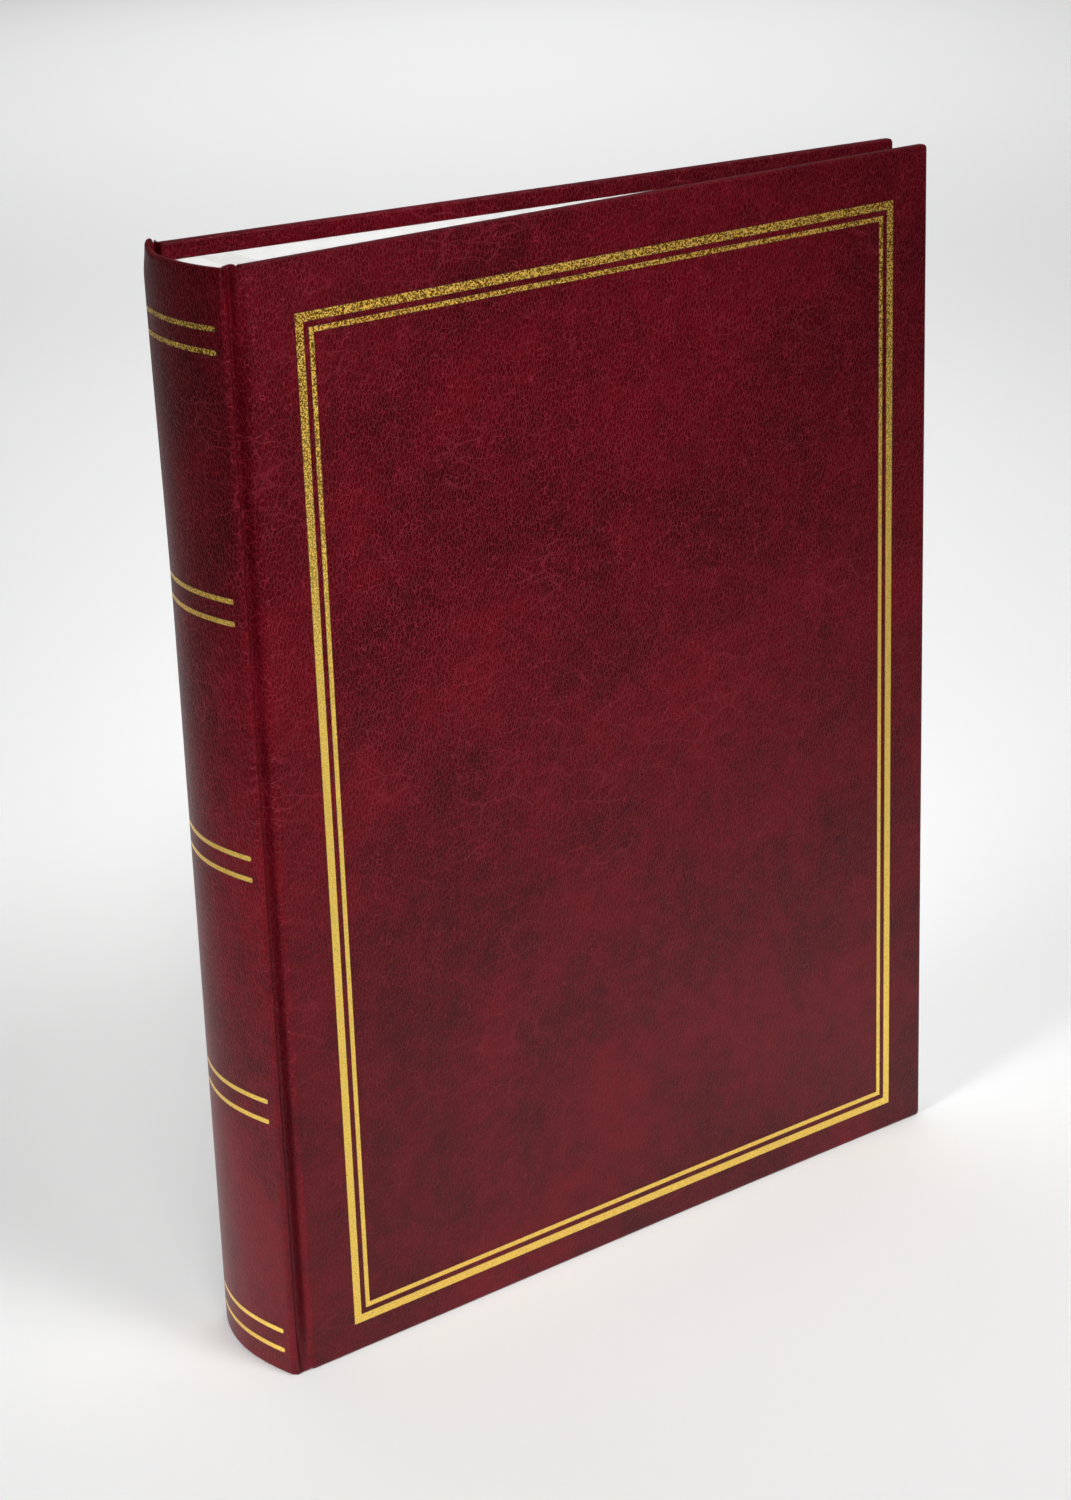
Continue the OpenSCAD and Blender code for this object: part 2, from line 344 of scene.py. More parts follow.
def case_plan():
    """Works out the covers' taper and hinge edges, and the spine's arc, which passes through its two edges
    and its apex and whose inner edge ends one groove's width from the cover."""
    case = album("case")
    taper = math.asin((case.spine_thickness - case.fore_thickness) / 2 / case.cover_width)
    hinge_edge = SWING_X + case.groove_width / 2
    half = case.spine_thickness / 2 - case.spine_setback
    radius = (half**2 + case.spine_bulge**2) / (2 * case.spine_bulge)
    edge_wall = math.sqrt(radius**2 - half**2) - math.sqrt((radius - case.spine_wall) ** 2 - half**2)
    centre = hinge_edge - case.groove_width - edge_wall - case.spine_bulge + radius
    return CasePlan(taper, hinge_edge, half, radius, centre)


def on_cover(side, along, inwards, up):
    """A cover's own coordinates, along from the hinge edge, inwards from the outer face and up, as the
    album's. The cover leans by the taper, its outer half bows out by a square law, and the back mirrors the
    front."""
    case, plan = album("case"), case_plan()
    along, inwards, up = np.broadcast_arrays(along, inwards, up)
    inwards = inwards - case.cover_bow * np.maximum(2 * along / case.cover_width - 1, 0) ** 2
    x = plan.hinge_edge + along * math.cos(plan.taper) - inwards * math.sin(plan.taper)
    y = side * (case.spine_thickness / 2 - along * math.sin(plan.taper) - inwards * math.cos(plan.taper))
    return np.stack([x, y, up], axis=-1)


# Finishes

class Shade:
    """A value in a material's nodes. Arithmetic on it adds Math nodes, and node() adds any other node."""

    def __init__(self, tree, socket=None):
        self.tree = tree
        self.socket = socket

    def node(self, kind, settings=None, sockets=None, output=0):
        """Adds a node: its settings first, then its sockets' values or links. Gives one of its outputs."""
        made = self.tree.nodes.new(kind)
        for key, value in (settings or {}).items():
            setattr(made, key, value)
        for key, value in (sockets or {}).items():
            if isinstance(value, Shade):
                self.tree.links.new(value.socket, made.inputs[key])
            else:
                made.inputs[key].default_value = value
        return Shade(self.tree, made.outputs[output] if len(made.outputs) else None)

    def maths(self, operation, *values):
        """Adds a Math node on these values, in their order."""
        return self.node("ShaderNodeMath", {"operation": operation}, dict(enumerate(values)))

    def __add__(self, other):
        return self.maths("ADD", self, other)

    def __sub__(self, other):
        return self.maths("SUBTRACT", self, other)

    def __rsub__(self, other):
        return self.maths("SUBTRACT", other, self)

    def __mul__(self, other):
        return self.maths("MULTIPLY", self, other)

    def __truediv__(self, other):
        return self.maths("DIVIDE", self, other)

    __radd__ = __add__
    __rmul__ = __mul__

    def ramp(self, low, high):
        """0 at low, 1 at high, and an even S-curve between."""
        return self.node("ShaderNodeMapRange", {"interpolation_type": "SMOOTHSTEP"},
                         {"Value": self, "From Min": low, "From Max": high})

    def between(self, first, second):
        """The first colour where this value is 0, and the second where it is 1."""
        return self.node("ShaderNodeMix", {"data_type": "RGBA"}, {0: self, 6: first, 7: second}, output=2)

    def noise(self, place, scale, detail=2.0, output=0):
        """Even noise about one half, with its scale in cycles to the metre, as a value or as a colour."""
        sockets = {"Vector": place, "Scale": scale, "Detail": detail}
        return self.node("ShaderNodeTexNoise", {}, sockets, output)

    def axis(self, place, letter):
        """One coordinate of a place, in metres."""
        return self.node("ShaderNodeSeparateXYZ", {}, {"Vector": place}, letter)

    def bump(self, height, depth, strength=1.0):
        """Normals of a relief whose height goes from 0 to 1 over a depth in metres."""
        return self.node("ShaderNodeBump", {}, {"Strength": strength, "Distance": depth, "Height": height})


def opaque(rgb, share=1.0):
    """A colour, or a darker share of it, with full alpha."""
    return (*(share * part for part in rgb), 1.0)


def new_finish(name):
    """An empty material, the start of its nodes, and the object's own coordinates."""
    material = bpy.data.materials.new(name)
    material.use_nodes = True
    material.node_tree.nodes.clear()
    start = Shade(material.node_tree)
    return material, start, start.node("ShaderNodeTexCoord", output="Object")


def surface(start, sockets, share=None, changed=None):
    """Ends a material in one Principled shader with these sockets, or in a mix by share with one that has
    some sockets changed."""
    shader = start.node("ShaderNodeBsdfPrincipled", {}, sockets)
    if changed:
        other = start.node("ShaderNodeBsdfPrincipled", {}, {**sockets, **changed})
        shader = start.node("ShaderNodeMixShader", {}, {0: share, 1: shader, 2: other})
    start.node("ShaderNodeOutputMaterial", {}, {"Surface": shader})


def cells(start, place, sway, reach, turn, scale, width):
    """A net of cells: 0 on the lines between them, rising to 1 over a share of a cell. A noise sways them
    over a reach in metres, a turn in degrees is about the cover's normal, and the scale is in cells to the
    metre."""
    swayed = start.node("ShaderNodeVectorMath", {"operation": "MULTIPLY_ADD"},
                        {0: sway, 1: (reach, reach, reach), 2: place})
    drawn = start.node("ShaderNodeMapping", {},
                       {"Vector": swayed, "Rotation": (0, math.radians(turn), 0), "Scale": scale})
    net = start.node("ShaderNodeTexVoronoi", {"feature": "DISTANCE_TO_EDGE"}, {"Vector": drawn, "Scale": 1.0})
    return net.ramp(0.0, width)


def grain(start, place):
    """The leatherette's grain: pebbles about a millimetre across, drawn out from tail to head, with long
    wrinkles and with pores, all pressed flatter towards the tail. Gives the height, the lines, the pores and
    how crisp it is."""
    fine = start.noise(place, 640.0, 2.0, "Color")
    broad = start.noise(place, 75.0, 3.0, "Color")
    pebbles = cells(start, place, fine, reach=1 * MM, turn=20, scale=(1120, 1120, 540), width=0.17)
    wrinkles = cells(start, place, broad, reach=9 * MM, turn=-14, scale=(55, 55, 150), width=0.03)
    shown = start.noise(place, 38.0).ramp(0.50, 0.62)
    pores = start.noise(place, 3600.0, 3.0)
    creased = 0.8 * shown * (1 - wrinkles)
    uneven = 0.55 + 0.45 * start.noise(place, 330.0).ramp(0.38, 0.62)
    net = (1 - pebbles.ramp(0.0, 0.32)) * uneven
    crisp = start.axis(place, "Z").ramp(20 * MM, 240 * MM)
    relief = 0.35 + 0.65 * crisp
    lines = start.maths("MAXIMUM", net, 0.75 * creased)
    return (pebbles + 0.25 * pores - 0.8 * creased) * relief, lines * relief, pores, crisp


@cache
def leatherette():
    """Burgundy leatherette: dark satin pebbles parted by the grain's lines, which are painted lighter and
    pinker as a painted sheen, mottled over a hand's width. It is glossier on the lines and towards the tail."""
    finish = album("finish")
    material, start, place = new_finish("grained_leatherette")
    height, lines, pores, crisp = grain(start, place)
    patches = start.noise(place, 26.0, 3.0).ramp(0.30, 0.70)
    spots = start.noise(place, 160.0, 3.0).ramp(0.35, 0.70)
    tone = (0.60 * patches + 0.35 * spots).between(opaque(finish.leatherette), opaque(finish.shade))
    # Painted sheen: the grain's lines take a lighter, pinker colour that stands in for light catching on
    # them; it fades towards the tail with the grain's relief.
    sheen_on_lines = lines * (0.40 + 0.50 * pores)
    glossy = 0.02 + 0.34 * lines + 0.36 * (1 - crisp)
    surface(start, {
        "Base Color": sheen_on_lines.between(tone, opaque(finish.crease)),
        "Roughness": 0.28 + 0.10 * pores,
        "Specular IOR Level": 0.05,
        "Normal": start.bump(height, 0.09 * MM),
    }, glossy, {"Specular IOR Level": 0.5})
    return material


@cache
def stamped_foil():
    """Gold foil pressed on the grain: it breaks in small flecks and is ragged at its edges. Its colour is
    darkened as painted shade, a little everywhere and most towards the head, between bright specks painted as
    glints."""
    finish = album("finish")
    material, start, place = new_finish("stamped_foil")
    height, _, pores, _ = grain(start, place)
    from_edge = start.node("ShaderNodeAttribute", {"attribute_name": "from_edge"}, output="Fac")
    ragged = start.noise(place, 1500.0, 3.0)
    kept = (from_edge - 0.16 * MM * ragged).ramp(0.0, 0.05 * MM)
    flecks = start.noise(place, 2100.0, 4.0).ramp(0.66, 0.72)
    foil = kept * (1 - flecks * 0.85)
    # Painted glints and painted shade: bright gold specks amid a darkened foil colour, which darkens more
    # towards the head.
    painted_glints = start.noise(place, 1900.0).ramp(0.46, 0.55)
    towards_head = start.axis(place, "Z").ramp(160 * MM, 290 * MM)
    shade_between_glints = (1 - painted_glints) * (0.15 + 0.85 * towards_head)
    tone = shade_between_glints.between(opaque(finish.gold), opaque(finish.old_gold))
    surface(start, {
        "Base Color": foil.between(opaque(finish.shade), tone),
        "Metallic": foil,
        "Roughness": 0.25 + 0.12 * pores + 0.12 * towards_head + 0.16 * (1 - foil),
        "Normal": start.bump(0.25 * height - shade_between_glints, 0.22 * MM),
    })
    return material


@cache
def fibrous(name, tone, roughness, fleck=0.06):
    """Paper or card: fine cloudy fibres, a trace of darker flecks and a matt surface."""
    rgb = getattr(album("finish"), tone)
    material, start, place = new_finish(name)
    clouds = start.noise(place, 260.0, 5.0)
    upright = start.node("ShaderNodeMapping", {}, {"Vector": place, "Scale": (1.0, 1.0, 0.2)})
    fibres = start.noise(upright, 2600.0, 3.0)
    mark = (clouds.ramp(0.35, 0.75) * 0.6 + fibres.ramp(0.4, 0.7) * 0.4) * fleck * 4
    surface(start, {
        "Base Color": mark.between(opaque(rgb), opaque(rgb, 0.80)),
        "Roughness": roughness + 0.1 * fibres,
        "Specular IOR Level": 0.3,
        "Normal": start.bump(clouds * 0.5 + fibres * 0.5, 0.03 * MM, 0.6),
    })
    return material


endpaper = partial(fibrous, "endpaper_sheet", "endpaper", roughness=0.66)
leaf_card = partial(fibrous, "smooth_card", "card", roughness=0.58, fleck=0.03)
guard_card = partial(fibrous, "cut_card", "card", roughness=0.74, fleck=0.08)
pressed_board = partial(fibrous, "pressed_board", "board", roughness=0.85, fleck=0.2)


@cache
def woven_linen():
    """Plain-weave linen: threads 0.4 mm apart going over and under, with uneven thickness."""
    linen = album("finish").linen
    material, start, place = new_finish("woven_linen")
    thread = 2 * math.pi / (0.8 * MM)
    slub = start.noise(place, 900.0)
    across = (start.axis(place, "X") + start.axis(place, "Y")) * thread
    up = start.axis(place, "Z") * thread
    weave = start.maths("SINE", across + slub) * start.maths("SINE", up + slub)
    tone = (weave * 0.5 + 0.5).between(opaque(linen, 0.82), opaque(linen))
    surface(start, {
        "Base Color": (slub * 0.3).between(tone, opaque(linen, 0.9)),
        "Roughness": 0.86 + 0.08 * slub,
        "Specular IOR Level": 0.2,
        "Normal": start.bump(weave * 0.5 + slub * 0.3, 0.12 * MM, 0.8),
    })
    return material


@cache
def clear_film():
    """Clear pocket film: nearly invisible, with a milky weld at each strip's foot and a painted highlight
    along its open edge.
    """
    finish, block = album("finish"), album("block")
    material, start, place = new_finish("clear_film")
    lowest = block.square + block.page_margin
    open_edge = block.strip_pitch - block.strip_gap
    strips = (start.axis(place, "Z") - lowest) / block.strip_pitch
    in_strip = start.maths("FRACT", strips) * block.strip_pitch
    weld = 1 - in_strip.ramp(0.9 * MM, 1.3 * MM)
    # Painted highlight: a more opaque, paler line along each strip's open edge.
    edge_highlight = in_strip.ramp(open_edge - 0.5 * MM, open_edge - 0.3 * MM)
    ripple = start.noise(place, 60.0)
    surface(start, {
        "Base Color": opaque(finish.film),
        "Alpha": 0.16 + 0.30 * weld + 0.25 * edge_highlight,
        "Roughness": 0.10 + 0.25 * weld + 0.06 * ripple,
        "Specular IOR Level": 0.9,
        "Normal": start.bump(ripple, 0.4 * MM, 0.5),
    })
    return material


def floor_paper():
    """Pale floor paper with a trace of cloudiness."""
    material, start, place = new_finish("floor_paper")
    tone = album("finish").floor
    clouds = start.noise(place, 3.0)
    surface(start, {
        "Base Color": (clouds * 0.05).between(opaque(tone), opaque(tone, 0.96)),
        "Roughness": 0.9,
        "Specular IOR Level": 0.1,
    })
    return material


def dress_node(name, material):
    """Gives a CAD node that keeps its shape its finish."""
    for slot in frame["nodes"][name].material_slots:
        slot.material = material


# Shapes of the case

def cover_skin(side, name):
    """A cover in its skin: a profile carried round its rounded outline, from the outer face over the edge,
    down the side and in along the turn-in, which ends in a step down to the board. Flat grids fill the outer
    face and the window between the turn-ins, which meet in a shallow mitre and leave out the hinge."""
    case = album("case")
    thick, edge, turn = case.cover_thickness, case.edge_round, case.turn_in
    flat, near, step, mitre, past_turn = 12 * MM, 5 * MM, 0.3 * MM, 0.14 * MM, 3 * MM
    run, rise = quarter()
    outside = [[flat, 0], [near, 0], [2 * edge, 0]]
    over = pairs(edge * (1 - run), edge * rise)
    under = pairs(edge * rise, thick - edge * (1 - run))
    inside = [[2 * edge, thick], [near, thick], [turn - step, thick], [turn, thick - case.skin]]
    profile = np.concatenate([outside, over, under, inside])
    inset, level = profile[:, 0, None], profile[:, 1, None]
    radii = np.array([case.hinge_round, case.corner_round, case.corner_round, case.hinge_round])
    arc_steps, shares = 6, even_shares(46)
    rings = np.stack([rounded_ring(case.cover_width, case.height, ring, radii, arc_steps, shares)
                      for ring in profile[:, 0]])
    along, up = rings[..., 0], rings[..., 1]
    in_corner = np.arange(rings.shape[1]) % (arc_steps + 1 + len(shares)) <= arc_steps
    turned_in = (level >= thick - MERGE) & (inset > edge - MERGE)
    from_middle = np.abs(up - case.height / 2)
    at_hinge = (along < turn + MERGE) & (from_middle < case.height / 2 - turn + past_turn)
    mitred = level - mitre * (turned_in & in_corner)
    depth = np.where(turned_in & at_hinge, thick - case.skin, mitred)
    points = [on_cover(side, along, depth, up).reshape(-1, 3)]
    faces = tube_faces(*rings.shape[:2], ends="open")
    places = np.concatenate([[0], shares, [1]])
    for margin, sunk in (profile[0], profile[-1]):
        across = margin + places * (case.cover_width - 2 * margin)
        tall = margin + places * (case.height - 2 * margin)
        faces += grid_faces(len(places), len(places), sum(len(part) for part in points))
        points.append(on_cover(side, across[None, :], sunk, tall[:, None]).reshape(-1, 3))
    return add_piece(name, np.concatenate(points), leatherette(), faces)


def cover_board(side, name):
    """The board in a cover: an oblong in plan that follows the cover's bow, a hair clear of the skin, carried
    up."""
    case = album("case")
    clear = case.skin + 0.05 * MM
    along = np.linspace(clear, case.cover_width - clear, 40)
    inwards = np.repeat([clear, case.cover_thickness - clear], len(along))
    up = np.array([clear, case.height - clear])
    points = on_cover(side, np.concatenate([along, along[::-1]]), inwards, up[:, None])
    return add_piece(name, points, pressed_board())


def towards_back(across):
    """0 over the front part of the spine, rising by a square law to 1 at its back edge."""
    half, begin = case_plan().spine_half, -6 * MM
    return (np.maximum(across - begin, 0) / (half - begin)) ** 2


def head_share(up, reach):
    """An S-curve from 0 at a reach below the head to 1 at the head."""
    return smoothstep(1 - (album("case").height - up) / reach)


def spine_outline():
    """The spine's outer line in plan, from back to front: an arc that falls away towards the back by a square
    law and is cut off at the back groove, then a fillet that touches the arc from inside and the plane of the
    spine's edge. Gives the points, their distances along the line and their outward normals."""
    case, plan = album("case"), case_plan()
    radius, centre, fillet = plan.spine_radius, plan.spine_centre, case.shoulder_round
    y = plan.spine_half - fillet
    x = centre - math.sqrt((radius - fillet) ** 2 - y**2)
    meets = math.atan2(y, centre - x)
    across = np.linspace(plan.spine_half, -radius * math.sin(meets), 600)
    arc = pairs(centre - np.sqrt(radius**2 - across**2) + case.back_sag * towards_back(across), across)
    groove = plan.hinge_edge - case.groove_width + 0.1 * MM
    arc = arc[(arc[:, 0] < groove) | (across < 0)]
    arc = arc[np.linspace(0, len(arc) - 1, 60).astype(int)]
    turn = np.linspace(meets, np.pi / 2, 12)[1:]
    line = np.concatenate([arc, pairs(x - fillet * np.cos(turn), -y - fillet * np.sin(turn))])
    along = directions(line)
    return line, distances(line), pairs(along[:, 1], -along[:, 0])


def across_spine(loop, margin=0.0, steps=90):
    """Carries a loop of depths and heights across the spine's outline, square to it, from margin to margin.
    Towards the head the back part flares out in an S-curve. The head's edge rises there by a fourth power and
    ends in a quarter circle, and the outer side sinks near the two shoulders."""
    case = album("case")
    slack_width, slack_reach, flare_reach, lift_reach = 11 * MM, 8 * MM, 110 * MM, 14 * MM
    shoulder_start, shoulder_width = 17 * MM, 3.2 * MM
    line, reach, outwards = spine_outline()
    at = margin + (reach[-1] - 2 * margin) * even_shares(steps - 2, True)
    line, outwards = (pairs(*(np.interp(at, reach, part) for part in value.T)) for value in (line, outwards))
    deep, tall = loop.T
    near_end = 1 - smoothstep(np.minimum(at, reach[-1] - at) / slack_width)[:, None]
    outer_side = 1 - deep / case.spine_wall
    backwards = towards_back(line[:, 1])[:, None]
    shoulder = smoothstep((line[:, 1, None] - shoulder_start) / shoulder_width)
    slack = outer_side * case.head_slack * near_end * head_share(tall, slack_reach)
    flare = case.head_flare * backwards * (1 - shoulder) * head_share(tall, flare_reach)
    plan = line[:, None] - outwards[:, None] * (deep + slack - flare)[..., None]
    from_corner = np.maximum(case.head_round - at, 0)[:, None]
    fall = case.head_round - np.sqrt(case.head_round**2 - from_corner**2)
    rise = case.head_lift * (backwards / backwards.max()) ** 4 - fall
    up = tall + rise * head_share(tall, lift_reach)
    return np.concatenate([plan, up[..., None]], axis=-1)


def spine_skin(name):
    """The spine in its skin: a C-shaped loop, with rounded head and tail edges and turn-ins inside, carried
    across the spine's outline. Its heights are closer together near the head."""
    case = album("case")
    wall, rim, tall, turn, skin = case.spine_wall, case.rim_round, case.height, case.turn_in, case.skin
    run, rise = quarter(5)
    near_head = tall - 12 * MM
    up = np.concatenate([np.linspace(rim, near_head, 26)[1:], np.linspace(near_head, tall - rim, 9)[1:-1]])
    head = np.concatenate([pairs(rim * rise, tall - rim + rim * run),
                           pairs(wall - rim + rim * run, tall - rim * rise)])
    core = wall - skin
    inside = [[wall, tall - turn], [core, tall - turn], [core, tall - skin], [skin, tall - skin],
              [skin, skin], [core, skin], [core, turn], [wall, turn]]
    tail = head[::-1] * [1, -1] + [0, tall]
    points = across_spine(np.concatenate([pairs(0.0, up), head, inside, tail]))
    return add_piece(name, points, leatherette())


def spine_core(name):
    """The spine's card: a rectangle carried across the spine's outline, a hair clear of the skin."""
    case = album("case")
    clear = case.skin + 0.03 * MM
    up = np.linspace(clear, case.height - clear, 12)
    loop = np.concatenate([pairs(clear, up), pairs(case.spine_wall - clear, case.height - up)])
    return add_piece(name, across_spine(loop)[1:-1], pressed_board())


def joint_line(side):
    """A groove's line in plan, on the back's side: an S-curve from the spine's shoulder down to the bottom
    and another up on to the cover. Gives the line, its bottom, each point's share of the way and its height
    on the straight line from shoulder to cover."""
    case, plan = album("case"), case_plan()
    before_edge, lap_width, lap_height = 2.9 * MM, 0.8 * MM, 0.04 * MM
    shoulder = spine_outline()[0][-1 if side == FRONT else 0] * [1, side]
    bottom = np.array([plan.hinge_edge - before_edge, plan.spine_half - case.groove_depth])
    lap = on_cover(BACK, lap_width, -lap_height, 0.0)[:2]
    t = np.linspace(0, 1, 32)[:, None]
    curve = np.hstack([t, smoothstep(t)])
    line = np.concatenate([shoulder + (bottom - shoulder) * curve, (bottom + (lap - bottom) * curve)[1:]])
    share = (line[:, 0] - shoulder[0]) / (lap[0] - shoulder[0])
    return line, bottom, share, shoulder[1] + (lap[1] - shoulder[1]) * share


def joint_rows():
    """Heights of a groove's rows, closer together near the head, and how far each row is pinched: the head
    and the tail are rolled over in a half circle."""
    case = album("case")
    rim, near_head = 0.9 * MM, case.height - 40 * MM
    run, rise = quarter()
    body = np.concatenate([np.linspace(rim, near_head, 30),
                           np.linspace(near_head, case.height - rim, 24)[1:]])
    up = np.concatenate([rim - rim * run[::-1], body[1:-1], case.height - rim + rim * run])
    pinch = np.concatenate([rise[::-1], np.zeros(len(body) - 2), rise])
    return up[:, None], pinch[:, None]


def joint_skin(side, name):
    """The groove between spine and cover. At tail and head its line fills up part of the way to the straight
    line from shoulder to cover, and at the head it swells to a bead, bell-shaped across. A second line behind
    it closes the skin, which is thicker where it is turned in and thin on the cover. Its ends follow the
    cover's rounded edge and, at the back, the spine's raised head. The back groove is flatter."""
    case, hinge_edge = album("case"), case_plan().hinge_edge
    fullness, peak = (1.0, 1.1 * MM) if side == FRONT else (0.3, 2.3 * MM)
    raised_head = case.head_lift - case.head_round if side == BACK else 0.0
    tail_reach, head_reach, head_fill, bead_width, bead_lift = 7 * MM, 34 * MM, 0.35, 0.9 * MM, 0.7 * MM
    lap_start, lap_width, lap_thinning = 1.2 * MM, 1.4 * MM, 0.93
    skin, doubled, turn_in, turn_in_slope = 0.45 * MM, 0.15 * MM, 14 * MM, 1.5 * MM
    head_ease, tail_ease = 6 * MM, 4 * MM
    up, pinch = joint_rows()
    line, bottom, share, straight = joint_line(side)
    x, y = line.T
    along = directions(line)
    behind = pairs(np.minimum(along[:, 1], 0.0), -along[:, 0])
    bead = np.exp(-(((x - bottom[0] - peak) / bead_width) ** 2))
    at_head = head_share(up, head_reach)
    fill = fullness * (1 - smoothstep(up / tail_reach)) + head_fill * at_head
    swell = (straight - y) * fill + fullness * case.head_bead * bead * at_head
    lapped = 1 - lap_thinning * smoothstep((x - hinge_edge + lap_start) / lap_width)
    turned_in = 1 - smoothstep((np.minimum(up, case.height - up) - turn_in) / turn_in_slope)
    thick = (skin + doubled * turned_in) * lapped + swell
    outer = pairs(x, y + swell)
    front = outer + behind * (pinch * thick / 2)[..., None]
    rear = outer + behind * (thick * (1 - pinch / 2))[..., None]
    plan = np.concatenate([front, rear[:, ::-1]], axis=1)
    ease = fullness * case.edge_round * smoothstep((x - bottom[0]) / (x[-1] - bottom[0]))
    lift = bead_lift * bead + raised_head * (1 - share) - ease
    lift, ease = (np.concatenate([value, value[::-1]]) for value in (lift, ease))
    tall = up + lift * head_share(up, head_ease) + ease * (1 - smoothstep(up / tail_ease))
    points = np.stack([plan[..., 0], side * plan[..., 1], tall], axis=-1)
    return add_piece(name, points, leatherette())


def foil_profile(width):
    """A strip of foil across its width: each point's distance from one edge and its height over the skin."""
    slope, rise, foot = 0.04 * MM, album("gilding").foil, 0.03 * MM
    return np.array([[0, -foot], [0, 0], [slope, rise], [width / 2, rise], [width - slope, rise], [width, 0],
                     [width, -foot]]).T


def rule_frame(inset, width, name):
    """A gold rule on the front cover: a low strip with sloping edges carried round a sharp rectangle, its
    foot a little below the skin. Each point also gets its distance from the strip's nearer edge."""
    case, gilding = album("case"), album("gilding")
    from_outside, rise = foil_profile(width)
    across = case.cover_width - gilding.from_groove - gilding.from_fore_edge - 2 * inset
    tall = case.height - gilding.from_tail - gilding.from_head - 2 * inset
    sharp, arc_steps, shares = np.zeros(4), 1, even_shares(30)
    rings = np.stack([rounded_ring(across, tall, step, sharp, arc_steps, shares) for step in from_outside])
    points = on_cover(FRONT, gilding.from_groove + inset + rings[..., 0], -rise[:, None],
                      gilding.from_tail + inset + rings[..., 1])
    nearer = np.minimum(from_outside, width - from_outside)
    values = np.broadcast_to(nearer[:, None], points.shape[:2])
    return add_piece(name, points, stamped_foil(), tube_faces(*points.shape[:2], ends="joined"), values)


def spine_gilding(name):
    """The spine's gold lines: low strips with sloping edges carried along the spine's arc, in pairs evenly
    spaced from tail to head. Each point also gets its distance from the strip's nearer edge."""
    case, gilding = album("case"), album("gilding")
    from_tail_side, rise = foil_profile(gilding.band_width)
    from_middle = from_tail_side - gilding.band_width / 2
    pair_count, rows, columns = 5, 60, len(rise)
    middles = np.linspace(gilding.band_from_tail, case.height - gilding.band_from_head, pair_count)[:, None]
    lines = (middles + gilding.band_pitch * np.array([-0.5, 0.5])).reshape(-1, 1)
    loop = pairs(-rise, lines + from_middle).reshape(-1, 2)
    points = across_spine(loop, gilding.band_margin, rows).reshape(rows, len(lines), columns, 3)
    points = points.transpose(1, 0, 2, 3)
    along = distances(points[0, :, columns // 2])
    from_end = np.minimum(along, along[-1] - along)
    nearer = np.minimum(gilding.band_width / 2 - np.abs(from_middle), from_end[:, None])
    values = np.broadcast_to(nearer, points.shape[:3])
    faces = [face for k in range(len(lines)) for face in tube_faces(rows, columns, k * rows * columns)]
    return add_piece(name, points, stamped_foil(), faces, values)


# Shapes of the block

def pastedown(side, name):
    """Endpaper pasted on a board: a grid over the board whose level drops in an S-curve from the turn-ins to
    the bare board, so that they show through, closed by a like back and a thin edge."""
    case, block = album("case"), album("block")
    foot, top = block.square, case.height - block.square
    wide, low, high = case.cover_width - case.turn_in, case.turn_in, case.height - case.turn_in
    clear, slope, pressed_in, pressed_under = 1 * MM, 1.2 * MM, 0.28 * MM, 0.38 * MM
    step = np.linspace(-0.8, 0.8, 7) * MM
    along = np.concatenate([np.linspace(case.edge_round, wide - clear, 20), wide + step,
                            [case.cover_width - block.square]])
    up = np.concatenate([[foot], low + step, np.linspace(low + clear, high - clear, 24), high + step, [top]])
    inside = np.minimum(np.minimum(up - low, high - up)[:, None], wide - along)
    pressed = smoothstep(inside / slope + 0.5)
    face = case.cover_thickness + block.paper - pressed_in * pressed
    under = case.cover_thickness - pressed_under * pressed
    points = [on_cover(side, along, level, up[:, None]).reshape(-1, 3) for level in (face, under)]
    rows, columns = face.shape
    index = np.arange(rows * columns).reshape(rows, columns)
    rim = np.concatenate([index[0, :-1], index[:-1, -1], index[-1, :0:-1], index[:0:-1, 0]])
    ahead = np.roll(rim, -1)
    edge = np.stack([rim, ahead, ahead + rows * columns, rim + rows * columns], axis=-1).tolist()
    faces = grid_faces(rows, columns) + grid_faces(rows, columns, rows * columns) + edge
    return add_piece(name, np.concatenate(points), endpaper(), faces)


def add_sheet(name, material, line, thick, foot, top, rows):
    """A thin upright sheet: a line in plan, set off to both sides by half the thickness and carried up."""
    along = directions(line)
    off = pairs(along[:, 1], -along[:, 0]) * thick / 2
    plan = np.concatenate([line + off, (line - off)[::-1]])
    up = np.linspace(foot, top, rows)
    points = np.concatenate([np.broadcast_to(plan, (rows,) + plan.shape),
                             np.broadcast_to(up[:, None, None], (rows, len(plan), 1))], axis=-1)
    return add_piece(name, points, material)


def endpaper_fold(side, name):
    """The fold of an endpaper: from the flyleaf's hinge along the block, then in an S-curve to the
    pastedown's edge. Gives the piece and the places where that curve begins and ends."""
    case, block = album("case"), album("block")
    edge = on_cover(BACK, case.edge_round, case.cover_thickness + block.paper / 2, 0.0)
    before_hinge, off_hinge, bend_width, thick = 0.45 * MM, 0.24 * MM, 2.6 * MM, 0.1 * MM
    bend, level = edge[0] + bend_width, FLYLEAF_Y + off_hinge
    t = np.linspace(0, 1, 40)
    flat = pairs(np.linspace(FLYLEAF_X - before_hinge, bend, 12)[:-1], level)
    curve = pairs(bend + t * (edge[0] - bend), level + (edge[1] - level) * smoothstep(t))
    line = np.concatenate([flat, curve]) * [1, side]
    piece = add_sheet(name, endpaper(), line, thick, block.square, case.height - block.square, rows=30)
    return piece, (bend, side * level), (edge[0], side * edge[1])


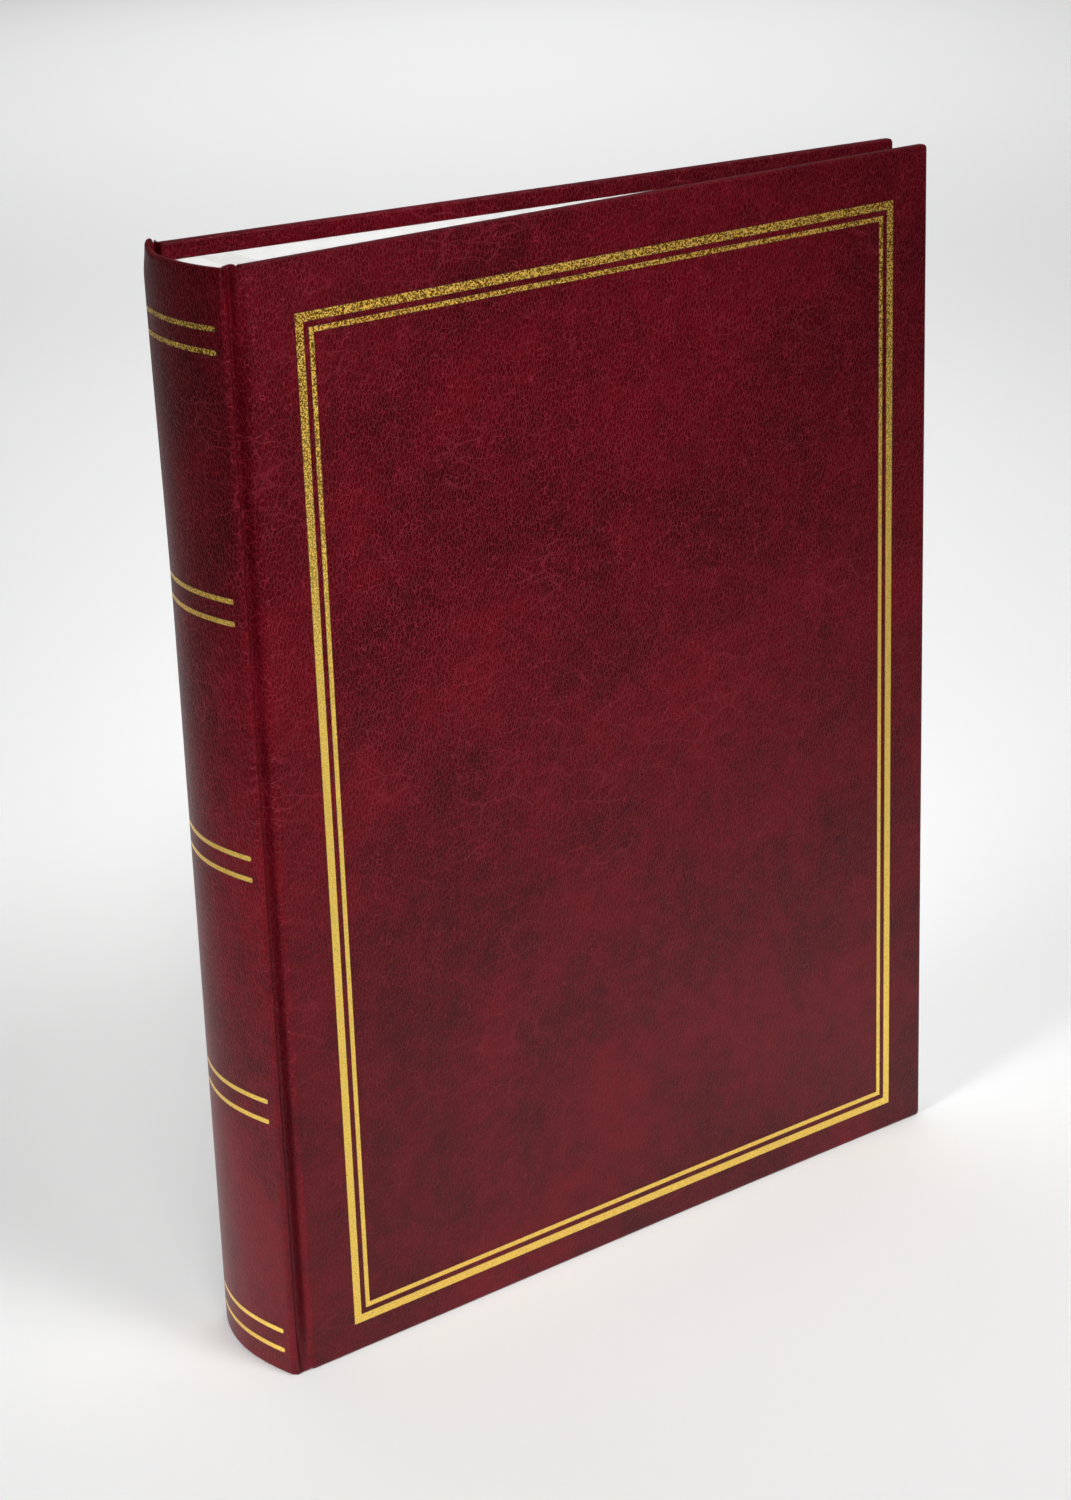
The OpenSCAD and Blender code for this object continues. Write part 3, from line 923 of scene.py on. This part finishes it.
def linen_hinge(body, name):
    """A leaf's linen hinge: straight between the guards, then in an S-curve to the leaf's side towards the
    middle and along the leaf, which leans to its place at the fore-edge."""
    case, block = album("case"), album("block")
    x, y, foot = JOINTS[body + "_turn"]
    tall = case.height - 2 * block.square
    bend_end, bend_width, clear, turned, hinge_pitch = 1.6 * MM, 2.6 * MM, 0.01 * MM, 0.6 * MM, 2.2 * MM
    lean = math.atan2(y * (block.fore_pitch / hinge_pitch - 1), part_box(body)[1].x - x)
    run = np.concatenate([np.linspace(-block.guard_gap - block.linen_in_guard, -block.guard_gap, 6)[:-1],
                          np.linspace(-block.guard_gap, bend_end, 25),
                          np.linspace(bend_end, block.linen_on_leaf, 8)[1:]])
    off_leaf = -math.copysign(block.leaf / 2 + block.linen / 2 + clear, y)
    lift = off_leaf * smoothstep((run + block.guard_gap) / bend_width)
    line = pairs(x + run, y + lift + np.maximum(run, 0) * math.tan(lean))
    piece = add_sheet(name, woven_linen(), line, block.linen, foot, foot + tall, rows=24)
    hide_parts("linen_hinges")
    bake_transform(piece)


def lining_cloth(name):
    """Cloth over the block's back: a line round it with rounded corners and along both sides, carried up."""
    low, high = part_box("spine_lining")
    thick, bend = 0.28 * MM, 1.2 * MM
    reach, back = high.y - thick / 2, low.x + thick / 2
    run, rise = quarter(8)
    flank = pairs(np.linspace(high.x, back + bend, 8)[:-1], reach)
    corner = pairs(back + bend - bend * run, reach - bend * rise)
    half = np.concatenate([flank, corner])
    flat = pairs(back, np.linspace(1, -1, 10)[1:-1] * (reach - bend))
    line = np.concatenate([half, flat, half[::-1] * [1, -1]])
    piece = add_sheet(name, woven_linen(), line, thick, low.z, high.z, rows=24)
    return piece


# Studio

def facing(right, up, back, place):
    """Matrix of an object whose own axes point right, up and back, at a place."""
    axes = np.stack([axis / np.linalg.norm(axis) for axis in (right, up, back)] + [place], axis=-1)
    return Matrix([*axes.tolist(), [0, 0, 0, 1]])


def add_lamp(name, place, aim, size, spread, power):
    """A soft oblong lamp, turned to the point it lights, that spreads its light over an angle. Its size is
    its width and then its length, which runs away from the point."""
    data = bpy.data.lights.new(name, "AREA")
    data.shape = "RECTANGLE"
    data.spread = math.radians(spread)
    data.energy = power
    data.size, data.size_y = size
    back = np.subtract(place, aim)
    right = np.cross([0, 0, 1], back)
    add_object(name, data).matrix_world = facing(right, np.cross(back, right), back, place)


def add_world(strength):
    """An even white light from all round."""
    world = bpy.data.worlds.new("studio")
    world.use_nodes = True
    world.node_tree.nodes.clear()
    start = Shade(world.node_tree)
    light = start.node("ShaderNodeBackground", {}, {"Color": (1, 1, 1, 1), "Strength": strength})
    start.node("ShaderNodeOutputWorld", {}, {"Surface": light})
    return world


def add_camera(stage):
    """The camera looks along azimuth and elevation at a point in the album, turned by its roll."""
    az, el, roll = stage.azimuth, stage.elevation, stage.roll
    back = np.array([math.sin(az) * math.cos(el), -math.cos(az) * math.cos(el), math.sin(el)])
    level = np.array([math.cos(az), math.sin(az), 0.0])
    upright = np.cross(back, level)
    right = math.cos(roll) * level + math.sin(roll) * upright
    up = math.cos(roll) * upright - math.sin(roll) * level
    aim = np.array([case_plan().hinge_edge + stage.aim_from_groove, 0.0, stage.aim_height])
    data = bpy.data.cameras.new("camera")
    data.sensor_width = 36.0
    data.lens = stage.lens
    data.clip_start, data.clip_end = 0.05, 30.0
    made = add_object("camera", data)
    made.matrix_world = facing(right, up, back, aim + back * stage.distance)
    return made


# Operators

def settle(piece, body, node):
    """Makes a piece ride on a body and stand for a CAD node, which it hides."""
    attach(piece, body)
    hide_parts(node)


class ALBUM_OT_covers(Operator):
    """Makes the skins and boards of the front and back covers."""

    bl_idname = "album.covers"
    bl_label = "Covers"

    def execute(self, context):
        for side, word in SIDES:
            cover = word + "_cover"
            settle(cover_skin(side, cover + "_skin"), cover, word + "_leatherette")
            settle(cover_board(side, cover + "_board"), cover, word + "_board")
        return {"FINISHED"}


class ALBUM_OT_spine(Operator):
    """Makes the skin and the card of the spine."""

    bl_idname = "album.spine"
    bl_label = "Spine"

    def execute(self, context):
        settle(spine_skin("spine_skin"), "binding", "spine_leatherette")
        settle(spine_core("spine_core"), "binding", "spine_card")
        return {"FINISHED"}


class ALBUM_OT_grooves(Operator):
    """Makes the grooves between the spine and the covers."""

    bl_idname = "album.grooves"
    bl_label = "Grooves"

    def execute(self, context):
        case, hinge_edge = context.scene.album_case, case_plan().hinge_edge
        before_cover = 0.1 * MM
        for side, word in SIDES:
            piece = joint_skin(side, word + "_joint_skin")
            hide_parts(word + "_joint")
            hinge_edge - case.groove_width
            hinge_edge - before_cover
            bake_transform(piece)
        return {"FINISHED"}


class ALBUM_OT_gilding(Operator):
    """Makes the gold rules of the front cover and the gold lines of the spine."""

    bl_idname = "album.gilding"
    bl_label = "Gilding"

    def execute(self, context):
        gilding = context.scene.album_gilding
        outer = rule_frame(0.0, gilding.outer_width, "outer_rule_gilding")
        inner = rule_frame(gilding.outer_width + gilding.gap, gilding.inner_width, "inner_rule_gilding")
        settle(outer, "front_cover", "front_outer_rule")
        settle(inner, "front_cover", "front_inner_rule")
        settle(spine_gilding("spine_band_gilding"), "binding", "spine_bands")
        return {"FINISHED"}


class ALBUM_OT_endpapers(Operator):
    """Makes the pastedowns and the folds that join them to the flyleaves, and finishes the flyleaves."""

    bl_idname = "album.endpapers"
    bl_label = "Endpapers"

    def execute(self, context):
        for side, word in SIDES:
            cover = word + "_cover"
            settle(pastedown(side, word + "_pastedown_sheet"), cover, word + "_pastedown")
            fold, start, end = endpaper_fold(side, word + "_endpaper_fold")
            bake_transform(fold)
            dress_node(word + "_flyleaf", endpaper())
        return {"FINISHED"}


class ALBUM_OT_linen(Operator):
    """Makes the linen hinges of the leaves and the cloth over the block's back."""

    bl_idname = "album.linen"
    bl_label = "Linen"

    def execute(self, context):
        for body in LEAVES:
            linen_hinge(body, body.replace("leaf", "linen_hinge"))
        settle(lining_cloth("lining_cloth"), "binding", "spine_lining")
        return {"FINISHED"}


class ALBUM_OT_leaves(Operator):
    """Finishes the leaves, their pocket strips and the guards."""

    bl_idname = "album.leaves"
    bl_label = "Leaves"

    def execute(self, context):
        for body in LEAVES:
            dress_node(body, leaf_card())
            dress_node(body.replace("leaf", "pockets"), clear_film())
        dress_node("binding_guards", guard_card())
        return {"FINISHED"}


class ALBUM_OT_stage(Operator):
    """Makes the floor, the lamps, the world and the camera."""

    bl_idname = "album.stage"
    bl_label = "Stage"

    def execute(self, context):
        scene, stage = context.scene, context.scene.album_stage
        corners = np.array([[-1, -1, 0], [1, -1, 0], [1, 1, 0], [-1, 1, 0]])
        add_piece("floor", stage.floor_reach * corners, floor_paper(), [[0, 1, 2, 3]])
        for row in LAMPS:
            add_lamp(*row)
        scene.world = add_world(stage.ambient)
        scene.camera = add_camera(stage)
        scene.view_settings.view_transform = "Standard"
        return {"FINISHED"}


class ALBUM_PT_panel(Panel):
    """Lists the album's pieces."""

    bl_idname = "ALBUM_PT_panel"
    bl_label = "Stamp album"
    bl_space_type = "VIEW_3D"
    bl_region_type = "UI"
    bl_category = "Album"

    def draw(self, context):
        for operator in OPERATORS:
            self.layout.operator(operator.bl_idname)


GROUPS = {
    "album_case": AlbumCase,
    "album_gilding": AlbumGilding,
    "album_block": AlbumBlock,
    "album_finish": AlbumFinish,
    "album_stage": AlbumStage,
}
OPERATORS = (ALBUM_OT_covers, ALBUM_OT_spine, ALBUM_OT_grooves, ALBUM_OT_gilding, ALBUM_OT_endpapers,
             ALBUM_OT_linen, ALBUM_OT_leaves, ALBUM_OT_stage)


def register():
    for made in (*GROUPS.values(), *OPERATORS, ALBUM_PT_panel):
        bpy.utils.register_class(made)
    for name, group in GROUPS.items():
        setattr(bpy.types.Scene, name, PointerProperty(type=group))


def unregister():
    for name in GROUPS:
        delattr(bpy.types.Scene, name)
    for made in (ALBUM_PT_panel, *reversed(OPERATORS), *reversed(GROUPS.values())):
        bpy.utils.unregister_class(made)


def main():
    """Makes the album piece by piece, then the studio."""
    register()
    bpy.ops.album.covers()
    bpy.ops.album.spine()
    bpy.ops.album.grooves()
    bpy.ops.album.gilding()
    bpy.ops.album.endpapers()
    bpy.ops.album.linen()
    bpy.ops.album.leaves()
    bpy.ops.album.stage()


if __name__ == "__main__":
    main()
